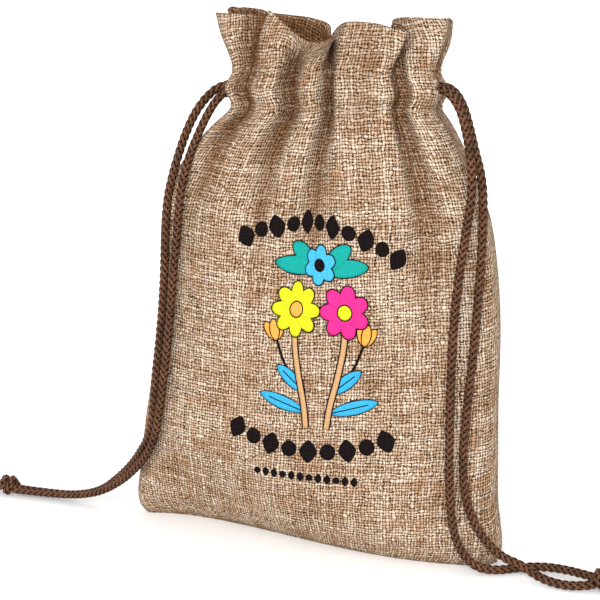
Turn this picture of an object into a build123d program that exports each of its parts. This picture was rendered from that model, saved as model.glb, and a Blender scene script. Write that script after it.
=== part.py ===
from build123d import *
import math
import os

os.makedirs("parts", exist_ok=True)

# A small cloth pouch that stands on its base, with a cord channel sewn into its gathered neck and
# two drawcords. Millimetres. +X is the pouch's right, -Y its front, +Z up.
# The origin is the middle of the base, on the surface that the pouch stands on.

# Cloth
CLOTH = 0.9

# Cutting blocks: one side of a block that is larger than the whole pouch, and how far one stands clear
BLOCK = 400.0
CLEAR = 1.0

# Body: each level is (height, centre in X, half width, half depth, radius of the rounded side)
BODY_LEVELS = [
    (0, 0.0, 60.0, 12.0, 6.0),
    (2, 0.0, 62.8, 15.0, 7.0),
    (7, 0.0, 64.0, 18.0, 8.0),
    (22, 0.6, 61.6, 20.6, 9.0),
    (45, 2.2, 58.8, 21.0, 9.0),
    (80, 3.3, 56.8, 20.0, 9.0),
    (108, 2.8, 54.4, 18.2, 9.0),
    (120, 3.0, 50.0, 17.0, 9.0),
    (131, 4.0, 43.5, 15.3, 9.0),
]

# Neck: the straight band that holds the cord channel, and the ruffle that opens above it
NECK = (5.9, 35.3, 13.4, 9.0)
RUFFLE_MIDDLE = (162, 5.6, 35.6, 14.2, 9.0)
RUFFLE_TOP = (170.4, 5.1, 37.2, 15.6, 9.0)
HEM_BOTTOM = 138.0
BAND_BOTTOM = 141.0
BAND_TOP = 155.0

# Cord channel between the two layers of the turned-in hem
CHANNEL_GAP = 3.4
CHANNEL_BOTTOM = 142.2
CHANNEL_TOP = 153.8
SLOT_HALF_DEPTH = 8.0
SLOT_REACH = 14.4
SLOT_BOTTOM = 143.6
SLOT_TOP = 152.4

# Stitches
STITCH_LENGTH = 2.2
STITCH_PITCH = 3.2
STITCH_WIDTH = 0.6
STITCH_PROUD = 0.4
LOWER_ROW = 141.3
UPPER_ROW = 154.1
SEAM_WIDTH = 3.0
SEAM_THICKNESS = 0.8
SEAM_BITE = 0.3

# Drawcords
CORD_DIAMETER = 3.0
LEFT_CORD_HEIGHT = 146.0
RIGHT_CORD_HEIGHT = 150.0
CORD_EXIT_RUN = 7.4
ARC_SHARE = 0.45

# Knots, with the cords' cut ends
KNOT_LENGTH = 11.0
KNOT_WIDTH = 8.6
KNOT_HEIGHT = 7.6
KNOT_ROUNDING = 3.0
KNOT_END_LENGTH = 8.0
KNOT_END_SPACING = 3.3
KNOT_END_LIFT = 0.1
LEFT_KNOT = (-111.0, 3.3)
RIGHT_KNOT = (99.6, -11.9)

# Routes of the four tails after their exits, from the channel to the knot
LEFT_FRONT_ROUTE = [
    (-32.4, -2.64, 146.0),
    (-35.2, -2.7, 144.0),
    (-37.3, -4.0, 140.2),
    (-38.8, -6.2, 134.8),
    (-40.5, -9.6, 126.0),
    (-41.5, -12.9, 112.0),
    (-41.9, -15.2, 92.0),
    (-43.2, -15.8, 70.0),
    (-46.8, -15.2, 50.0),
    (-51.0, -14.0, 34.0),
    (-57.2, -12.0, 21.0),
    (-65.8, -8.8, 11.5),
    (-76.2, -5.4, 5.2),
    (-87.5, -2.4, 2.2),
    (-97.5, -0.2, 1.6),
    (-107.0, 1.4, 1.6),
]
LEFT_BACK_ROUTE = [
    (-32.4, 2.64, 146.0),
    (-35.8, 1.6, 144.8),
    (-39.0, 0.2, 142.0),
    (-41.9, -1.8, 137.2),
    (-44.8, -4.2, 130.5),
    (-47.4, -7.4, 120.0),
    (-48.8, -10.4, 104.0),
    (-48.9, -12.2, 84.0),
    (-50.4, -12.5, 64.0),
    (-53.4, -11.7, 46.0),
    (-57.4, -10.4, 31.5),
    (-63.4, -8.2, 19.6),
    (-71.0, -4.4, 10.4),
    (-81.0, -0.4, 4.4),
    (-90.5, 2.6, 1.8),
    (-99.0, 4.4, 1.6),
    (-107.0, 5.1, 1.6),
]
RIGHT_FRONT_ROUTE = [
    (44.2, -2.64, 150.0),
    (47.0, -2.7, 148.2),
    (49.2, -3.8, 144.6),
    (50.6, -5.6, 139.4),
    (51.7, -8.0, 131.0),
    (52.4, -10.6, 120.0),
    (51.8, -13.4, 107.0),
    (50.2, -15.4, 92.0),
    (49.4, -16.4, 75.0),
    (49.2, -16.8, 57.0),
    (49.4, -16.9, 40.0),
    (49.8, -16.5, 26.0),
    (51.0, -15.7, 14.4),
    (54.0, -14.4, 6.6),
    (58.8, -13.0, 2.3),
    (64.8, -10.6, 1.6),
    (70.6, -6.4, 1.6),
    (77.0, -3.6, 1.6),
    (84.0, -4.6, 1.6),
    (90.2, -8.2, 1.6),
    (96.0, -10.2, 1.6),
]
RIGHT_BACK_ROUTE = [
    (44.2, 2.64, 150.0),
    (47.6, 1.7, 149.0),
    (50.8, 0.4, 146.2),
    (53.2, -1.4, 141.4),
    (54.8, -3.6, 133.5),
    (56.2, -6.4, 121.0),
    (56.6, -9.2, 107.0),
    (56.2, -11.4, 91.0),
    (55.4, -13.0, 74.0),
    (54.2, -14.0, 58.0),
    (53.2, -14.6, 42.0),
    (53.6, -14.3, 28.0),
    (56.6, -12.4, 17.0),
    (61.2, -10.2, 9.6),
    (66.0, -9.0, 6.2),
    (72.0, -9.3, 5.2),
    (78.0, -11.6, 2.6),
    (84.4, -13.8, 1.6),
    (90.4, -14.5, 1.6),
    (96.0, -13.7, 1.6),
]


def oval(height, centre, half_width, half_depth, side_radius, inset=0.0):
    """The four tangent arcs of a level's outline, moved inwards by inset, as points on each arc."""
    reach = half_width - side_radius
    bow = (reach**2 - (half_depth - side_radius) ** 2) / (2 * (half_depth - side_radius))
    lean = math.atan2(reach, bow)
    radius = side_radius - inset
    side_x = reach + radius * math.sin(lean)
    side_y = radius * math.cos(lean)
    return {
        "left_front": Vector(centre - side_x, -side_y, height),
        "front": Vector(centre, inset - half_depth, height),
        "right_front": Vector(centre + side_x, -side_y, height),
        "right": Vector(centre + half_width - inset, 0, height),
        "right_back": Vector(centre + side_x, side_y, height),
        "back": Vector(centre, half_depth - inset, height),
        "left_back": Vector(centre - side_x, side_y, height),
        "left": Vector(centre - half_width + inset, 0, height),
    }


def oval_face(level, inset=0.0):
    """The flat face inside a level's outline."""
    at = oval(*level, inset=inset)
    edges = [
        ThreePointArc(at["left_front"], at["front"], at["right_front"]),
        ThreePointArc(at["right_front"], at["right"], at["right_back"]),
        ThreePointArc(at["right_back"], at["back"], at["left_back"]),
        ThreePointArc(at["left_back"], at["left"], at["left_front"]),
    ]
    return Face(Wire(edges))


def neck_column(bottom, top, inset):
    """A straight column between two heights of the neck band, its outline moved inwards by inset."""
    return extrude(oval_face((bottom, *NECK), inset), amount=top - bottom, dir=(0, 0, 1))


def lofted(levels, inset):
    """A smooth body through the levels' outlines, moved inwards by inset."""
    return loft([oval_face(level, inset) for level in levels])


def pouch_shell():
    """The whole cloth shell: body, band with its hollow channel, and ruffle, before it is parted."""
    lower_levels = BODY_LEVELS + [(BAND_BOTTOM, *NECK)]
    upper_levels = [(BAND_TOP, *NECK), RUFFLE_MIDDLE, RUFFLE_TOP]
    outside = lofted(lower_levels, 0) + neck_column(BAND_BOTTOM, BAND_TOP, 0) + lofted(upper_levels, 0)

    double = 2 * CLOTH
    body_space = lofted(lower_levels, CLOTH) & slab(CLOTH, HEM_BOTTOM)
    hem_space = lofted(lower_levels, double) & slab(HEM_BOTTOM, BAND_BOTTOM)
    neck_space = neck_column(BAND_BOTTOM, BAND_TOP, double + CHANNEL_GAP)
    mouth_space = lofted(upper_levels, double)
    channel = neck_column(CHANNEL_BOTTOM, CHANNEL_TOP, CLOTH)
    channel -= neck_column(CHANNEL_BOTTOM, CHANNEL_TOP, CLOTH + CHANNEL_GAP)

    shell = outside
    for hollow in (body_space, hem_space, neck_space, mouth_space, channel, *cord_slots()):
        shell -= hollow
    return shell


def slab(bottom, top):
    """Everything between two heights."""
    return Pos(0, 0, (bottom + top) / 2) * Box(BLOCK, BLOCK, top - bottom)


def cord_slots():
    """The two gaps that the side seams leave in the channel's outer wall, where the cords come out."""
    centre, half_width, _, side_radius = NECK
    slot_height = SLOT_TOP - SLOT_BOTTOM
    middle_height = (SLOT_TOP + SLOT_BOTTOM) / 2
    reach = half_width - side_radius / 2
    outer_wall = neck_column(SLOT_BOTTOM, SLOT_TOP, -CLEAR) - neck_column(SLOT_BOTTOM, SLOT_TOP, CLOTH)
    slots = []
    for side in (-1, 1):
        block = Pos(centre + side * reach, 0, middle_height)
        block *= Box(SLOT_REACH, 2 * SLOT_HALF_DEPTH, slot_height)
        slots.append(outer_wall & block)
    return slots


def half_space(side):
    """Everything in front of the side seams (side -1) or behind them (side 1)."""
    return Pos(0, side * BLOCK / 4, 0) * Box(BLOCK, BLOCK / 2, BLOCK)


def stitch_row(height, side):
    """One row of stitches round the front (side -1) or the back (side 1) of the neck."""
    centre, half_width, half_depth, side_radius = NECK
    low = height - STITCH_WIDTH / 2
    high = height + STITCH_WIDTH / 2
    thread = neck_column(low, high, -STITCH_PROUD) - neck_column(low, high, 0)
    stitches = []
    count = int((half_width - side_radius) // STITCH_PITCH)
    for index in range(-count, count + 1):
        place = Pos(centre + index * STITCH_PITCH, side * half_depth, height)
        stitches.append(thread & (place * Box(STITCH_LENGTH, half_depth, 2 * STITCH_WIDTH)))
    return Compound(children=[solid for stitch in stitches for solid in stitch.solids()])


def side_seam(side):
    """The overlocked seam up one side, a flat strip that bites into both panels from inside."""
    outer_line = []
    inner_line = []
    for height, centre, half_width, _, _ in BODY_LEVELS[2:]:
        edge = centre + side * (half_width - CLOTH + SEAM_BITE)
        outer_line.append((edge, 0, height))
        inner_line.append((edge - side * SEAM_THICKNESS, 0, height))
    edges = [
        Spline(*outer_line),
        Line(outer_line[-1], inner_line[-1]),
        Spline(*reversed(inner_line)),
        Line(inner_line[0], outer_line[0]),
    ]
    return extrude(Face(Wire(edges)), amount=SEAM_WIDTH / 2, dir=(0, 1, 0), both=True)


def bottom_seam():
    """The overlocked seam along the base, inside."""
    _, _, half_width, _, side_radius = BODY_LEVELS[0]
    length = 2 * (half_width - side_radius)
    return Pos(0, 0, CLOTH + SEAM_THICKNESS / 2 - SEAM_BITE) * Box(length, SEAM_WIDTH, SEAM_THICKNESS)


def channel_path(height, side):
    """The cord's line in the channel: in at the side's front, round the other end, out at its back."""
    inset = CLOTH + CHANNEL_GAP / 2
    at = oval(height, *NECK, inset=inset)
    near, far = ("left", "right") if side < 0 else ("right", "left")
    front_arc = ThreePointArc(at[near + "_front"], at["front"], at[far + "_front"])
    end_arc = ThreePointArc(at[far + "_front"], at[far], at[far + "_back"])
    back_arc = ThreePointArc(at[far + "_back"], at["back"], at[near + "_back"])
    front_exit = front_arc @ 0 - (front_arc % 0) * CORD_EXIT_RUN
    back_exit = back_arc @ 1 + (back_arc % 1) * CORD_EXIT_RUN
    edges = [
        Line(front_exit, front_arc @ 0),
        front_arc,
        end_arc,
        back_arc,
        Line(back_arc @ 1, back_exit),
    ]
    return Wire(edges), front_exit, back_exit


def tube_along(path, name):
    """A round tube along a path, with its volume held against its section times its length."""
    section = Plane(origin=path @ 0, z_dir=path % 0) * Circle(CORD_DIAMETER / 2)
    tube = sweep(section, path=path)
    expected = math.pi * (CORD_DIAMETER / 2) ** 2 * path.length
    print(f"{name}: length {path.length:.1f}, volume over section times length {tube.volume / expected:.4f}")
    return tube


def rounded_route(points, name):
    """Straight runs joined by tangent arcs, each as large as its two runs allow."""
    points = [Vector(*point) for point in points]
    runs = [after - before for before, after in zip(points, points[1:])]
    radii = []
    for before, after in zip(runs, runs[1:]):
        turn = math.radians(before.get_angle(after))
        radii.append(ARC_SHARE * min(before.length, after.length) / math.tan(turn / 2))
    print(f"{name}: radii {[round(radius, 1) for radius in radii]}")
    print(f"{name}: runs {[round(run.length, 1) for run in runs]}")
    return FilletPolyline(*points, radius=radii)


def knot(centre, side):
    """A knot lying on the surface, with the two cut ends of the cord beyond it."""
    x, y = centre
    lump = fillet(Box(KNOT_LENGTH, KNOT_WIDTH, KNOT_HEIGHT).edges(), KNOT_ROUNDING)
    end_height = CORD_DIAMETER / 2 - KNOT_HEIGHT / 2 + KNOT_END_LIFT
    for across in (-1, 1):
        end = Rot(0, 90, 0) * Cylinder(CORD_DIAMETER / 2, KNOT_END_LENGTH + KNOT_LENGTH / 2)
        middle = side * (KNOT_LENGTH / 2 + KNOT_END_LENGTH) / 2
        lump += Pos(middle, across * KNOT_END_SPACING / 2, end_height) * end
    return Pos(x, y, KNOT_HEIGHT / 2) * lump


def write(name, shape):
    """Write one node's STEP file."""
    export_step(shape, f"parts/{name}.step")


shell = pouch_shell()
for panel, side in (("front", -1), ("back", 1)):
    write(f"{panel}_panel", shell & half_space(side))
    write(f"{panel}_lower_stitch_row", stitch_row(LOWER_ROW, side))
    write(f"{panel}_upper_stitch_row", stitch_row(UPPER_ROW, side))

write("left_side_seam_thread", side_seam(-1))
write("right_side_seam_thread", side_seam(1))
write("bottom_seam_thread", bottom_seam())

cords = [
    ("left", -1, LEFT_CORD_HEIGHT, LEFT_FRONT_ROUTE, LEFT_BACK_ROUTE, LEFT_KNOT),
    ("right", 1, RIGHT_CORD_HEIGHT, RIGHT_FRONT_ROUTE, RIGHT_BACK_ROUTE, RIGHT_KNOT),
]
for hand, side, height, front_route, back_route, knot_centre in cords:
    path, front_exit, back_exit = channel_path(height, side)
    write(f"{hand}_cord_channel_run", tube_along(path, f"{hand} channel run"))
    print(f"{hand} exits {front_exit}, {back_exit}")
    for place, start, route in (("front", front_exit, front_route), ("back", back_exit, back_route)):
        tail_name = f"{hand}_cord_{place}_tail"
        write(tail_name, tube_along(rounded_route([start, *route], tail_name), tail_name))
    write(f"{hand}_knot", knot(knot_centre, side))
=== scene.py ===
import math

import bpy
import numpy as np
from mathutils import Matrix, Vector


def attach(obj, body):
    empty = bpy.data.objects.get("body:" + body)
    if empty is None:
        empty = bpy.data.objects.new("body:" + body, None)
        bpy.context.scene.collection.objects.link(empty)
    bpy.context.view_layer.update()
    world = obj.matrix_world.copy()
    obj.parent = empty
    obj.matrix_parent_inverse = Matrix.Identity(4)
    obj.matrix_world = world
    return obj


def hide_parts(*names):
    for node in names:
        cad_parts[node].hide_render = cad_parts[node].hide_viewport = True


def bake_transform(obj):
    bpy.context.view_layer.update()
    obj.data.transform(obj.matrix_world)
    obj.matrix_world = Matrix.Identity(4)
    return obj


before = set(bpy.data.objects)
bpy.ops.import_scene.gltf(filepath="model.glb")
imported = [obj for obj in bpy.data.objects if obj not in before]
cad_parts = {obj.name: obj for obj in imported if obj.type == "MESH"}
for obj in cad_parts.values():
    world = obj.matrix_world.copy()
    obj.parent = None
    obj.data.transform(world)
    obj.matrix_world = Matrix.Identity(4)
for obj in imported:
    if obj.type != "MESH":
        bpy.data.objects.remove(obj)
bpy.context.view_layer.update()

# Everything below is worked out in millimetres and turned into metres when a mesh is made.
MM = 0.001

# Cloth of one panel, as it is cut: seam to seam, bottom seam to lip, and the hem that is turned in
FLAT_WIDTH = 140.0
HEM_DEPTH = 31.0
CLOTH_THICKNESS = 0.8
# Distance from the outer layer to the hem, and how much of the folds' depth the hem keeps in the channel
LAYER_GAP = 1.7
CHANNEL_FLATTENING = 0.1
# The mesh: columns across one panel, rows in from the bottom seam, rows up the body and rows of hem
COLUMNS = 170
BASE_ROWS = 7
ROW_PITCH = 1.0
HEM_ROWS = 30
# Painted shade amount given to the hem, so that the inside of the mouth is painted dark
INSIDE_PAINTED_SHADE = 2.0

# Heights of the neck: lower stitch row, cord channel, upper stitch row
LOWER_ROW = 143.4
CHANNEL = 148.6
UPPER_ROW = 154.4

# Body outline: height, centre in X, half width, half depth, radius of the rounded side
BODY_LEVELS = np.array([
    (0, 0.0, 61.6, 5.0, 3.5),
    (3, 0.0, 63.4, 8.5, 5.0),
    (9, 0.0, 63.6, 12.5, 7.5),
    (22, 0.6, 61.4, 16.5, 10.0),
    (45, 2.2, 58.8, 18.5, 11.5),
    (80, 3.3, 56.6, 18.5, 11.5),
    (108, 2.8, 54.0, 17.0, 10.0),
    (120, 3.0, 49.6, 15.6, 9.0),
    (131, 4.0, 43.2, 14.0, 8.0),
    (141, 5.9, 35.0, 12.6, 8.0),
])

# Gathers of the neck: how far round the cloth each point is, in millimetres from the left seam, where
# it lies in the channel (x, y), and where it lies at the lip (x, y, z). The front panel is the first
# 140 mm and the back panel the rest.
GATHERS = [
    (0.0, (-26.4, 3.0), (-28.6, 4.0, 170.8)),
    (7.2, (-27.8, -2.8), (-31.4, -2.0, 171.4)),
    (17.0, (-24.4, -10.2), (-23.6, -7.6, 171.4)),
    (25.0, (-20.4, -5.2), (-14.8, 0.0, 171.2)),
    (31.6, (-15.8, -11.0), (-11.2, -8.4, 172.7)),
    (41.4, (-9.2, -13.6), (-3.6, -13.2, 168.0)),
    (50.0, (-5.2, -5.2), (3.4, -16.8, 164.0)),
    (57.0, (0.2, -12.4), (8.2, -15.4, 163.8)),
    (63.2, (4.8, -12.8), (9.4, -8.4, 164.6)),
    (73.1, (7.4, -5.0), (4.8, 2.8, 164.6)),
    (82.3, (11.4, -12.4), (11.2, -5.2, 169.2)),
    (93.6, (20.8, -13.6), (21.5, -8.6, 169.6)),
    (99.5, (25.4, -12.8), (27.6, -10.2, 168.4)),
    (104.4, (28.4, -10.4), (32.6, -10.6, 167.6)),
    (110.0, (27.8, -5.2), (29.0, -3.6, 168.6)),
    (114.5, (31.0, -5.0), (24.6, 0.8, 169.4)),
    (120.0, (34.4, -8.6), (26.2, 1.4, 170.6)),
    (126.5, (38.8, -7.0), (32.4, -1.6, 171.0)),
    (134.5, (41.2, -2.6), (41.2, -1.6, 170.9)),
    (140.0, (40.2, 3.0), (41.8, 3.6, 170.6)),
    (147.0, (41.0, 8.2), (42.0, 6.0, 169.0)),
    (154.0, (36.6, 11.2), (37.0, 7.6, 168.6)),
    (160.0, (33.6, 5.6), (33.4, 3.4, 168.2)),
    (168.0, (29.6, 11.8), (29.0, 5.4, 167.2)),
    (176.0, (22.8, 12.4), (22.0, 5.8, 166.8)),
    (182.5, (19.0, 5.4), (17.6, 3.0, 166.8)),
    (190.0, (15.2, 12.4), (12.6, 5.6, 166.4)),
    (197.0, (8.6, 11.8), (7.4, 6.0, 165.4)),
    (203.5, (5.8, 5.4), (4.4, 4.8, 164.4)),
    (210.0, (1.6, 11.8), (2.8, 8.0, 167.6)),
    (219.0, (-6.6, 13.4), (-3.6, 10.4, 169.5)),
    (227.0, (-12.4, 10.8), (-10.8, 9.6, 170.4)),
    (232.5, (-14.2, 5.4), (-15.8, 6.0, 171.2)),
    (240.0, (-18.2, 11.4), (-20.4, 9.0, 172.0)),
    (249.0, (-22.4, 10.0), (-25.6, 8.0, 172.6)),
    (256.0, (-22.6, 5.6), (-25.8, 4.6, 172.6)),
    (265.0, (-26.8, 9.4), (-29.4, 7.0, 172.8)),
    (273.5, (-28.2, 6.4), (-30.4, 5.8, 171.8)),
]
GATHER_CLOTH = [row[0] for row in GATHERS]
NECK_RING = [row[1] for row in GATHERS]
LIP_RING = [row[2] for row in GATHERS]
LIP_HEIGHT = 170.2
NECK_CENTRE = 5.9
NECK_HALF_WIDTH = 35.3
NECK_HALF_DEPTH = 12.8
# Where the cloth is tucked away between the crests of the folds, round both panels
FOLD_VALLEYS = [0, 25, 50, 73.1, 112, 140, 160, 182.5, 203.5, 232.5, 256, 280]
# Height over which the body becomes the gathered neck
NECK_BLEND = 6
# How far stuffed cloth bulges in X and in Y
BULGE = np.array([0.35, 1.0])


def smooth_step(edge0, edge1, value):
    """0 up to edge0, 1 from edge1 on, smooth between them."""
    t = np.clip((value - edge0) / (edge1 - edge0), 0, 1)
    return t * t * (3 - 2 * t)


def catmull_rom(knots, points, at):
    """A smooth curve through points, which stand at the knots, read at the values in at."""
    knots = np.asarray(knots, float)
    points = np.asarray(points, float)
    slopes = np.empty_like(points)
    slopes[1:-1] = (points[2:] - points[:-2]) / (knots[2:] - knots[:-2])[:, None]
    slopes[0] = (points[1] - points[0]) / (knots[1] - knots[0])
    slopes[-1] = (points[-1] - points[-2]) / (knots[-1] - knots[-2])
    index = np.clip(np.searchsorted(knots, at, side="right") - 1, 0, len(knots) - 2)
    span = (knots[index + 1] - knots[index])[:, None]
    t = (np.asarray(at) - knots[index])[:, None] / span
    h00 = (1 + 2 * t) * (1 - t) ** 2
    h10 = t * (1 - t) ** 2
    h01 = t * t * (3 - 2 * t)
    h11 = t * t * (t - 1)
    return (h00 * points[index] + h10 * span * slopes[index]
            + h01 * points[index + 1] + h11 * span * slopes[index + 1])


def gathered_curve(points, at):
    """The same round the whole cloth, through points that stand at the gathers."""
    period = 2 * FLAT_WIDTH
    knots = np.array(GATHER_CLOTH)
    around = np.concatenate([knots - period, knots, knots + period])
    return catmull_rom(around, np.concatenate([points] * 3), at % period)


def half_oval(level, share):
    """Points on the front half of an outline of four tangent arcs, at shares of its length from the left."""
    centre, half_width, half_depth, side_radius = level
    reach = half_width - side_radius
    bow = (reach**2 - (half_depth - side_radius) ** 2) / (2 * (half_depth - side_radius))
    lean = math.atan2(reach, bow)
    big_radius = half_depth + bow
    side_length = side_radius * (math.pi / 2 - lean)
    face_length = 2 * big_radius * lean
    length = 2 * side_length + face_length
    along = share * length
    x = np.empty_like(along)
    y = np.empty_like(along)
    left = along < side_length
    right = along > side_length + face_length
    face = ~(left | right)
    for part, hand, run in ((left, -1, along), (right, 1, length - along)):
        turn = run[part] / side_radius
        x[part] = hand * (reach + side_radius * np.cos(turn))
        y[part] = -side_radius * np.sin(turn)
    turn = (along[face] - side_length) / big_radius - lean
    x[face] = big_radius * np.sin(turn)
    y[face] = bow - big_radius * np.cos(turn)
    return np.stack([centre + x, y], axis=-1)


def oval_ring(level, cloth):
    """Points on the whole outline for places in the cloth, first in front and then behind."""
    cloth = cloth % (2 * FLAT_WIDTH)
    front = cloth <= FLAT_WIDTH
    share = np.where(front, cloth / FLAT_WIDTH, 2 - cloth / FLAT_WIDTH)
    ring = half_oval(level, share)
    ring[~front, 1] *= -1
    return ring


def body_level(height):
    """The body outline's numbers at a height."""
    return catmull_rom(BODY_LEVELS[:, 0], BODY_LEVELS[:, 1:], [height])[0]


def base_shift(x, height):
    """How far back the bottom seam's wave carries the cloth at a place."""
    wave = 2.5 - 6.5 * np.sin((x + 4) * math.pi / 88)
    return wave * (1 - smooth_step(0, 42, height)) * (1 - (x / 64) ** 8 * 0.6)


def soft_ripple(cloth, height):
    """Shallow unevenness of stuffed cloth, in millimetres outwards."""
    a = np.sin(cloth * 0.071 + 0.9 * np.sin(height * 0.043) + 1.3) * np.sin(height * 0.060 + 0.6)
    b = np.sin(cloth * 0.117 - height * 0.051 + 2.2)
    c = np.sin(cloth * 0.052 + height * 0.088 + 4.0)
    return 0.55 * a + 0.30 * b + 0.25 * c


def fold_reach(cloth):
    """How far below the lower stitch row a gather runs before the cloth is smooth, by place."""
    return 66 + 15 * np.sin(cloth * 0.11 + 1.0) + 8 * np.sin(cloth * 0.23)


def body_ring(cloth, height):
    """The cloth's outer surface at one height of the body, for places in the cloth."""
    level = body_level(height)
    smooth = oval_ring(level, cloth)
    neck = gathered_curve(NECK_RING, cloth)
    centre, half_width, half_depth, _ = level
    wider = half_width / NECK_HALF_WIDTH
    deeper = half_depth / NECK_HALF_DEPTH
    gathered = np.stack([centre + (neck[:, 0] - NECK_CENTRE) * wider, neck[:, 1] * deeper], axis=-1)
    hold = np.clip(1 - (LOWER_ROW - height) / fold_reach(cloth), 0, 1) ** 1.6
    ring = smooth + (gathered - smooth) * hold[:, None]
    outwards = smooth - np.array([centre, 0])
    outwards /= np.linalg.norm(outwards * BULGE, axis=1)[:, None] + 1e-6
    fade = smooth_step(0, 25, height) * (1 - smooth_step(115, 140, height))
    ring += outwards * BULGE * (soft_ripple(cloth, height) * fade)[:, None]
    ring[:, 1] += base_shift(ring[:, 0], height)
    return np.column_stack([ring, np.full(len(ring), float(height))])


def neck_ring(cloth, height):
    """The cloth's outer surface between the lower stitch row and the lip."""
    neck = gathered_curve(NECK_RING, cloth)
    lip = gathered_curve(LIP_RING, cloth)

    def scaled(width, depth, at):
        x = NECK_CENTRE + (neck[:, 0] - NECK_CENTRE) * width
        return np.column_stack([x, neck[:, 1] * depth, np.full(len(x), at)])

    middle = 0.5 * scaled(0.99, 0.95, 162) + 0.5 * lip
    middle[:, 2] = 0.35 * UPPER_ROW + 0.65 * lip[:, 2] - 1.0
    stations = [
        scaled(1.0, 0.98, LOWER_ROW - 4),
        scaled(0.945, 0.90, LOWER_ROW),
        scaled(1.0, 1.0, CHANNEL),
        scaled(0.93, 0.88, UPPER_ROW),
        middle,
        lip,
        lip + (lip - middle) * 0.6,
    ]
    knots = [LOWER_ROW - 4, LOWER_ROW, CHANNEL, UPPER_ROW, 162.5, LIP_HEIGHT, LIP_HEIGHT + 6]
    flat = np.stack([station.reshape(-1) for station in stations])
    return catmull_rom(knots, flat, [height])[0].reshape(-1, 3)


def cloth_ring(cloth, height):
    """One row of the cloth's outer surface, from the floor to the lip."""
    if height <= LOWER_ROW - NECK_BLEND:
        return body_ring(cloth, height)
    if height >= LOWER_ROW:
        return neck_ring(cloth, height)
    share = smooth_step(LOWER_ROW - NECK_BLEND, LOWER_ROW, height)
    return body_ring(cloth, height) * (1 - share) + neck_ring(cloth, height) * share


def outer_grid(cloth):
    """All rows of the outer surface: in from the bottom seam, up the body and on to the lip."""
    heights = np.arange(0, LIP_HEIGHT + 0.01, ROW_PITCH)
    rows = [cloth_ring(cloth, height) for height in heights]
    edge = rows[0]
    seam = edge.copy()
    seam[:, 1] = base_shift(edge[:, 0], 0)
    base = []
    for index in range(BASE_ROWS):
        share = index / BASE_ROWS
        row = seam + (edge - seam) * share
        row[:, 2] = 0.35 * (1 - share)
        base.append(row)
    return np.array(base + rows)


def grid_normals(grid):
    """Outward normals of a grid of rows."""
    across = np.gradient(grid, axis=1)
    up = np.gradient(grid, axis=0)
    normals = np.cross(across, up)
    return normals / (np.linalg.norm(normals, axis=2)[..., None] + 1e-9)


def smoothed_round(grid, columns):
    """The grid with each point averaged with its neighbours round the pouch."""
    reach = range(-3 * columns, 3 * columns + 1)
    weights = np.array([math.exp(-0.5 * (step / columns) ** 2) for step in reach])
    weights /= weights.sum()
    return sum(weight * np.roll(grid, step, axis=1) for weight, step in zip(weights, reach))


def turned_hem(grid):
    """The hem's rows, which go on over the lip and down inside the outer layer, round the cords."""
    ring = grid[:, :-1]
    normals = smoothed_round(grid_normals(grid)[:, :-1], 2)
    soft = smoothed_round(ring, 2)
    lip_row = len(grid) - 1
    lip_height = (lip_row - BASE_ROWS) * ROW_PITCH
    rows = []
    for index in range(1, HEM_ROWS + 1):
        depth = HEM_DEPTH * index / HEM_ROWS
        place = lip_row - depth / ROW_PITCH
        low = int(place)
        share = place - low
        height = lip_height - depth
        turned = 1 - math.exp(-depth / 0.8)
        high = min(low + 1, lip_row)
        outer, softer, normal = (
            field[low] * (1 - share) + field[high] * share for field in (ring, soft, normals))
        row = outer + (softer - outer) * turned - normal * LAYER_GAP * turned
        above = smooth_step(LOWER_ROW, LOWER_ROW + 3, height)
        below = 1 - smooth_step(UPPER_ROW - 3, UPPER_ROW, height)
        row[:, 1] *= 1 - above * below * (1 - CHANNEL_FLATTENING)
        rows.append(row)
    hem = np.array(rows)
    return np.concatenate([hem, hem[:, :1]], axis=1)


def hollows(grid):
    """How far each point lies in a hollow (towards 1) or on a crest (towards -1) of the folds."""
    # These depths set how much shade is painted into the folds' hollows and creases
    ring = grid[:, :-1]
    normals = grid_normals(grid)[:, :-1]
    wide = ((smoothed_round(ring, 5) - ring) * normals).sum(axis=2)
    narrow = ((smoothed_round(ring, 1) - ring) * normals).sum(axis=2)
    depth = np.clip(wide / 1.6, -1, 1) + np.clip((narrow - 0.05) / 0.10, 0, 1)
    return np.concatenate([depth, depth[:, :1]], axis=1)


def across_cloth(grid, cloth):
    """Where each point is across the cloth. Up in the neck it is measured from the crest of its fold,
    because the rest of the cloth is tucked away in the valleys."""
    steps = np.linalg.norm(np.diff(grid, axis=1), axis=2)
    run = np.concatenate([np.zeros((len(grid), 1)), np.cumsum(steps, axis=1)], axis=1)
    heights = (np.arange(len(grid)) - BASE_ROWS) * ROW_PITCH
    tucked = smooth_step(92, 140, np.minimum(heights, 2 * LIP_HEIGHT - heights))[:, None]
    measured = np.empty_like(run)
    for low, high in zip(FOLD_VALLEYS, FOLD_VALLEYS[1:]):
        inside = (cloth >= low) & (cloth < high if high < 2 * FLAT_WIDTH else cloth <= high)
        crest = np.argmin(np.abs(cloth - (low + high) / 2))
        measured[:, inside] = cloth[crest] + run[:, inside] - run[:, [crest]]
    return cloth[None, :] * (1 - tucked) + measured * tucked


def cloth_lengths(grid):
    """How far each point is along its column of cloth from the bottom seam."""
    steps = np.linalg.norm(np.diff(grid, axis=0), axis=2)
    return np.vstack([np.zeros(grid.shape[1]), np.cumsum(steps, axis=0)])


# ---------------------------------------------------------------- mesh helpers


def link(obj):
    """Put an object in the scene."""
    bpy.context.scene.collection.objects.link(obj)
    return obj


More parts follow.
